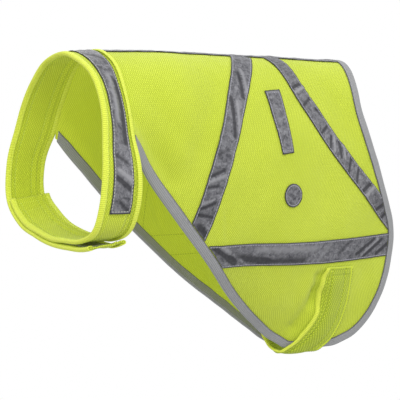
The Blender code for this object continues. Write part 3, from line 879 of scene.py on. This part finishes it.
def edges_all_round(net):
    """Distance from the nearest edge of a net, its ends included, in mm."""
    along = lengths_of(net)[0]
    return np.minimum(strip_edges(net), np.minimum(along, along[-1:] - along))


def declare(net):
    """Works out a piece's flat cut, its width, length and area, from its net, and keeps nothing of it."""
    flat, area = cut_size(net)


# ---------------------------------------------------------------- the cape
ROWS_DOWN = 132
COLUMNS = 112
TAPE_STEPS = 150
BACK_OF_CAPE = -CLOTH / 2 - 0.05


def build_cape():
    """The cape: outline rows even in girth, drawn across from front to rear, on both sides."""
    girths = np.linspace(0, OUTLINE[-1, 1], ROWS_DOWN + 1)
    rows = np.interp(girths, OUTLINE[:, 1], np.arange(len(OUTLINE)))[:, None]
    halves = []
    for side in (-1, 1):
        flat = outline_point(rows, np.linspace(0, 1, COLUMNS + 1)[None, :], side)
        centre = flat.mean(axis=(0, 1))
        seam_row = flat[:, 0].copy()
        for column in (0, -1):
            flat[:, column] += inward_of(flat[:, column], centre) * EDGE_INSET
        at_collar = rows[:, 0] < SEAM_ROW
        flat[at_collar, 0] = seam_row[at_collar] - [SEAM_REACH, 0]
        flat[-1, :, 1] -= side * EDGE_INSET
        flat[0, :, 1] = 0
        halves.append(flat)
    flat = np.concatenate([halves[0][::-1], halves[1][1:]])[:, ::-1]
    net = on_cape(flat[..., 0], flat[..., 1])
    made = cloth("cape_cloth", net, CLOTH, LIME_MESH, ["back_panel"], inside=LIME_INSIDE_SHADED_GLOWING)
    return made, net


def run_on_cape(flat, lift, flip=False):
    """Line on the folded cape at a height, with its normals, for stitches."""
    points = on_cape(flat[:, 0], flat[:, 1], lift)
    normals = on_cape(flat[:, 0], flat[:, 1], lift + 1.0) - points
    return points, -normals if flip else normals


def build_cape_binding():
    """Grey binding folded round the free edge, with its two rows of stitches."""
    line, inward = cape_edge()
    columns = []
    pucker = crumple(np.arange(len(line)) * 2.0, 0.0, length=16.0, height=0.12, seed=31)
    for inset, height in fold_profile(BINDING_WIDTH):
        flat = line + inward * inset
        lift = height + np.sign(height) * pucker * (inset > 3)
        columns.append(on_cape(flat[:, 0], flat[:, 1], lift))
    net = np.stack(columns, axis=1)
    made = cloth(
        "cape_binding", net, BINDING, GREY_EDGE, ["body_binding"], edge=strip_edges(net)
    )
    flat = line + inward * (BINDING_WIDTH - 1.5)
    reach = LEAF_REACH + BINDING / 2
    runs = [run_on_cape(flat, reach), run_on_cape(flat, -reach, flip=True)]
    sewing = stitches(
        "binding_stitches", runs, GREY_THREAD, pitch=3.0, length=2.3, width=0.5
    )
    declare(net)


def raised(relief):
    """Relief of a tape, cut off and raised so far that none of it reaches the cloth below."""
    return np.maximum(relief, -0.32) + 0.1


def tape_relief(flat, side, length, seed):
    """Crinkles and fine crumples of a tape of the cape, and its crinkles alone."""
    shift = RIGHT_SHIFT if side > 0 else 0.0
    spot = flat[..., 0] - shift, flat[..., 1] + shift
    pressed = fold_height(TAPE_CRINKLES, *spot)
    return raised(pressed + crumple(*spot, length, TAPE_CRUMPLE, seed)), pressed


def sewn_on_tape(line, side, length, seed):
    """Stitch line on the outer face of a tape."""
    relief = tape_relief(line, side, length, seed)[0]
    return run_on_cape(line * [1, side], LAID_REACH + TAPE + relief)


def lay_tape(name, net, fold, edge):
    """Reflective tape through a net, laid on a piece of cloth."""
    made = cloth(name + "_cloth", net, TAPE, REFLECTIVE, [name], fold=fold, edge=edge)
    declare(net)


def build_tape(name, flat, side, length, seed, edge=None):
    """Reflective tape or patch on one side of the cape, from its flat net."""
    relief, pressed = tape_relief(flat, side, length, seed)
    net = on_cape(flat[..., 0], side * flat[..., 1], LAID_REACH + TAPE / 2 + relief)
    lay_tape(name, net, pressed, strip_edges(net) if edge is None else edge)


def line_at(flat, share):
    """Line of a flat net at a share of its width."""
    column = share * (flat.shape[1] - 1)
    j = min(int(column), flat.shape[1] - 2)
    return flat[:, j] * (1 - column + j) + flat[:, j + 1] * (column - j)


def build_side_tapes(side, word):
    """Tapes, bar and dot of one side. Gives their stitch lines, and those on the cape's inside."""
    outer, inner = [], []
    for k, (name, line, width, length) in enumerate(TAPES):
        flat = trimmed(flat_strip(line, (width, width), TAPE_STEPS, 16), TAPE_STEPS)
        seed = 40 + 3 * k + side
        build_tape(f"{name}_{word}", flat, side, length, seed)
        for share in (STITCH_INSET / width, 1 - STITCH_INSET / width):
            sewn = line_at(flat, share)
            outer.append(sewn_on_tape(sewn, side, length, seed))
            inner.append(run_on_cape(sewn * [1, side], BACK_OF_CAPE, flip=True))
    flat = flat_strip(BAR_LINE, BAR_WIDTHS, 44, 14)
    plain = on_cape(flat[..., 0], side * flat[..., 1], 0.0)
    build_tape(f"bar_{word}", flat, side, PATCH_CRUMPLES, 60 + side, edges_all_round(plain))
    sides = [flat[2:-2, 1], flat[-3, 1:-1], flat[2:-2, -2][::-1], flat[2, 1:-1][::-1], flat[2:3, 1]]
    outer.append(sewn_on_tape(np.concatenate(sides), side, PATCH_CRUMPLES, 60 + side))
    radius = DOT_DIAMETER / 2
    flat = disc(DOT_CENTRE, radius, 20)
    edge = radius - np.linalg.norm(flat - DOT_CENTRE, axis=-1)
    build_tape(f"dot_{word}", flat, side, PATCH_CRUMPLES, 70 + side, edge)
    turn = np.linspace(0, 2 * np.pi, 61)
    ring = DOT_CENTRE + (radius - DOT_STITCH_INSET) * np.stack([np.cos(turn), np.sin(turn)], axis=1)
    outer.append(sewn_on_tape(ring, side, PATCH_CRUMPLES, 70 + side))
    return outer, inner


def build_spine_tape():
    """Tape along the ridge, from the collar seam to the binding. Gives the same two lists."""
    outer, inner = [], []
    girth = np.linspace(-TAPE_WIDTH / 2, TAPE_WIDTH / 2, 17)
    rear = np.interp(abs(girth), OUTLINE[:, 3], OUTLINE[:, 2]) - BINDING_WIDTH - SPINE_TAPE_END_GAP
    front = OUTLINE[0, 0] + SPINE_TAPE_GAP
    station = front + (rear - front) * np.linspace(0, 1, 181)[:, None]
    crumples = crumple(station, girth[None, :], length=13.0, height=0.2, seed=80)
    relief = np.maximum(crumples, -0.3) + 0.1
    net = on_cape(station, girth[None, :], LAID_REACH + TAPE / 2 + relief)
    lay_tape("spine_tape", net, fold=relief * 1.5 - 0.15, edge=strip_edges(net) + 0.6)
    for column in (1, -2):
        line = np.stack([station[:, column], np.full(len(station), girth[column])], axis=1)
        outer.append(run_on_cape(line, LAID_REACH + TAPE + relief[:, column]))
        inner.append(run_on_cape(line, BACK_OF_CAPE, flip=True))
    return outer, inner


def build_cape_tapes():
    """All the tapes of the cape, and their stitches on both of its faces."""
    lists = [build_side_tapes(-1, "left"), build_side_tapes(1, "right"), build_spine_tape()]
    outer, inner = (sum(runs, []) for runs in zip(*lists))
    stitches("tape_stitches", outer, GREY_THREAD, pitch=3.2, length=2.5, width=0.55)
    stitches("tape_stitch_backs", inner, SHADED_LIME_THREAD, pitch=3.2, length=2.4, width=0.5)


# ---------------------------------------------------------------- the strap
def build_strap():
    """Belly strap: a puffed channel between sewn lines, and a box of stitches at its top."""
    half = STRAP_WIDTH / 2
    offsets = np.linspace(-half + PIPING_WIDTH + 0.45, half, 49)
    beside = offsets + half
    net = strap_points(offsets)
    normal = strap_normals(net)
    along = lengths_of(net)[0]
    low, high = STRAP_CHANNEL
    middle = (low + high) / 2
    puff = np.clip(1 - ((beside - middle) / (high - middle)) ** 2, 0, 1) ** 0.6
    puff = puff[None, :] * np.clip((along - 8) / 6, 0, 1)
    grooves = sum(np.exp(-(((beside - at) / 0.9) ** 2)) for at in STRAP_GROOVES)
    net = net + normal * (puff - 0.8 * grooves[None, :])[..., None]
    pores = 0.8 + 0.2 * np.clip((beside - low) * 2, 0, 1) * np.clip((high - beside) * 2, 0, 1)
    pores = pores * np.clip((STRAP_WIDTH - 2.6 - beside) * 2, 0, 1)
    pores = pores[None, :] * np.clip((along - 1.5) * 2, 0, 1)
    made = cloth("strap_cloth", net, STRAP - 0.6, LIME_CHANNEL, ["belly_strap"], fold=pores)
    surface = net + normal * (STRAP / 2 - 0.3)
    under = net - normal * (STRAP / 2 - 0.3)
    runs = []
    for at in STRAP_GROOVES[:-1]:
        j = int(np.argmin(abs(beside - at)))
        runs += [(surface[4:, j], normal[4:, j]), (under[4:, j], -normal[4:, j])]
    runs.append((surface[1:-1, -2], normal[1:-1, -2]))
    runs += [(surface[i, 3:-3], normal[i, 3:-3]) for i in (1, 4)]
    sewing = stitches("strap_stitches", runs, SHADED_LIME_THREAD, pitch=2.8, length=2.3, width=0.8)
    declare(net)
    edge = strap_points(np.linspace(-half, -half + PIPING_WIDTH, 9))
    bulge = np.sin(np.linspace(0, np.pi, 9))[None, :, None] * 1.1
    edge = edge + strap_normals(edge) * bulge
    cloth("strap_piping_cloth", edge, STRAP - 0.2, LIME_EDGE, ["strap_piping"])


# ---------------------------------------------------------------- the collar
def run_on_collar(clock, across, lift):
    """Line on the collar at a height, with its normals, for stitches."""
    points = on_collar(clock, across, lift)
    return points, on_collar(clock, across, lift + np.sign(lift)) - points


def build_collar():
    """Collar band, its folded edges, and the sewing of both."""
    clock = np.linspace(*COLLAR_ENDS, 361)[:, None]
    across = np.linspace(EDGE_INSET, COLLAR_WIDTH - EDGE_INSET, 61)[None, :]
    net = on_collar(clock, across, collar_relief(across))
    band = cloth(
        "collar_cloth", net, CLOTH, LIME_MESH, ["collar_band"], inside=LIME_COLLAR_INSIDE_SHADED_GLOWING
    )
    runs = []
    fine = np.linspace(*COLLAR_ENDS, 900)
    reach = LEAF_REACH + BINDING / 2
    for word, rim, inward in (("front", 0.0, 1), ("rear", COLLAR_WIDTH, -1)):
        inset, height = fold_profile(COLLAR_EDGE_WIDTH, 5).T[:, None]
        leaf = on_collar(clock, rim + inward * inset, height)
        name = f"collar_edge_{word}"
        made = cloth(name + "_cloth", leaf, BINDING, LIME_EDGE, [name])
        declare(leaf)
        sewn = rim + inward * (COLLAR_EDGE_WIDTH - 1.2)
        runs += [run_on_collar(fine, sewn, lift) for lift in (reach, -reach)]
    inside = -CLOTH / 2 + 0.1
    first, last = COLLAR_ENDS[0] + 4, COLLAR_ENDS[1] - 4
    runs += [run_on_collar(np.linspace(first, last, 900), at, inside) for at in COLLAR_BORDERS]
    cross = np.linspace(8.5, COLLAR_WIDTH - 8.5, 40)
    runs += [run_on_collar(np.full(40, at), cross, inside) for at in (last, last - 7, first)]
    sewing = stitches("collar_stitches", runs, LIME_THREAD, pitch=3.0, length=2.2, width=0.5)
    declare(net)
    return band


def collar_tape_relief(clock, across):
    """Crinkles and fine crumples of the collar's tape, and the crinkles alone."""
    folds = [(a * MM_PER_CLOCK, b, c * MM_PER_CLOCK, *rest) for a, b, c, *rest in COLLAR_CRINKLES]
    pressed = fold_height(folds, clock * MM_PER_CLOCK, across)
    wave = crumple(clock * MM_PER_CLOCK, across, 10.0, TAPE_CRUMPLE, seed=90)
    return raised(pressed + wave), pressed


def build_collar_tape():
    """Reflective tape round the collar's outer face, sewn all round."""
    back = LAID_REACH + COLLAR_TAPE_RISE
    clock = np.linspace(*COLLAR_TAPE_ENDS, 221)[:, None]
    across = COLLAR_TAPE_INSET + np.linspace(0, COLLAR_TAPE_WIDTH, 18)[None, :]
    relief, pressed = collar_tape_relief(clock, across)
    net = on_collar(clock, across, back + TAPE / 2 + relief)
    lay_tape("collar_tape", net, fold=pressed, edge=edges_all_round(net))
    first, last = COLLAR_TAPE_ENDS[0] + COLLAR_STITCH_INSET, COLLAR_TAPE_ENDS[1] - COLLAR_STITCH_INSET
    low = COLLAR_TAPE_INSET + COLLAR_STITCH_INSET
    high = COLLAR_TAPE_INSET + COLLAR_TAPE_WIDTH - COLLAR_STITCH_INSET
    lines = [(np.linspace(first, last, 500), np.full(500, at)) for at in (low, high)]
    lines += [(np.full(40, at), np.linspace(low, high, 40)) for at in (first, last)]
    runs = [run_on_collar(*line, back + TAPE + collar_tape_relief(*line)[0]) for line in lines]
    stitches(
        "collar_tape_stitches", runs, PALE_THREAD, pitch=2.9, length=2.1, width=0.55
    )


def build_hook_pad():
    """Hook tape inside the collar's outer end."""
    clock = np.linspace(*HOOK_PAD_ENDS, 61)[:, None]
    across = np.linspace(HOOK_PAD_INSET, COLLAR_WIDTH - HOOK_PAD_INSET, 15)[None, :]
    net = on_collar(clock, across, -LAID_REACH - 0.7)
    pad = cloth("hook_pad_cloth", net, 1.2, HOOKS, ["collar_hook_pad"])
    declare(net)


cape, cape_net = build_cape()
declare(cape_net)
build_cape_binding()
build_cape_tapes()
build_strap()
collar = build_collar()
build_collar_tape()
build_hook_pad()


# ---------------------------------------------------------------- floor, light and camera
def for_camera(tree, light, seen):
    """Shader that lights as one and is seen by the camera as another."""
    ray = add(tree, "LightPath").outputs["Is Camera Ray"]
    return add(tree, "MixShader", {0: ray, 1: light, 2: seen}).outputs[0]


def build_floor():
    """Round pale floor well below the vest, which is held up by its wearer's back.

    The camera sees it burnt out to white, as in the photograph; as a light it is only pale.
    """
    turn, radius = np.meshgrid(np.linspace(0, 2 * np.pi, 65), [0.001, 2.0, 9.0])
    net = np.stack([radius * np.cos(turn), radius * np.sin(turn), np.full(turn.shape, -0.62)], axis=-1)
    mesh = bpy.data.meshes.new("floor")
    mesh.from_pydata(net.reshape(-1, 3), [], grid_faces(*net.shape[:2]))
    made, tree = new_material("white_studio_paper")
    paper = add(tree, "BsdfDiffuse", {"Color": linear("#C4C4C4")}).outputs[0]
    burnt_out = add(tree, "Emission", {"Color": linear("#FFFFFF"), "Strength": 1.0}).outputs[0]
    add(tree, "OutputMaterial", {"Surface": for_camera(tree, paper, burnt_out)})
    mesh.materials.append(made)
    new_object("floor", mesh)


def build_light(name, spot, size, power, aim=(0.07, 0.0, -0.14)):
    """Square soft light at a spot, turned to the vest."""
    data = bpy.data.lights.new(name, "AREA")
    data.size = size
    data.energy = power
    lamp = new_object(name, data)
    lamp.location = spot
    lamp.rotation_euler = (Vector(aim) - Vector(spot)).to_track_quat("-Z", "Y").to_euler()


def build_world():
    """White studio: softer as light on the vest than as the background that the camera sees."""
    world = bpy.data.worlds.new("studio")
    world.use_nodes = True
    tree = world.node_tree
    tree.nodes.clear()
    white = {"Color": (1.0, 1.0, 1.0, 1.0)}
    light = add(tree, "Background", {"Strength": 0.8, **white}).outputs[0]
    seen = add(tree, "Background", {"Strength": 1.0, **white}).outputs[0]
    add(tree, "OutputWorld", {"Surface": for_camera(tree, light, seen)})
    bpy.context.scene.world = world


def build_camera():
    """Camera at the photograph's angle: 36.9 degrees round to the left front and 5.8 above."""
    azimuth, elevation = np.radians(-36.9), np.radians(5.8)
    level = np.cos(elevation)
    back = Vector((np.sin(azimuth) * level, -np.cos(azimuth) * level, np.sin(elevation)))
    data = bpy.data.cameras.new("camera")
    data.lens = 100.1
    camera = new_object("camera", data)
    camera.location = Vector((0.0666, 0.0, -0.1445)) + back * 1.116
    camera.rotation_euler = back.to_track_quat("Z", "Y").to_euler()
    bpy.context.scene.camera = camera


build_floor()
build_light("key", (-0.5, -1.4, 1.3), size=1.0, power=22.0)
build_light("fill", (1.3, -1.1, 0.5), size=1.2, power=5.0)
build_light("back", (0.3, 1.2, 1.3), size=1.4, power=10.0)
build_light("low", (-1.2, -0.9, -0.3), size=0.9, power=3.0)
build_world()
bpy.context.scene.view_settings.view_transform = "Standard"
build_camera()
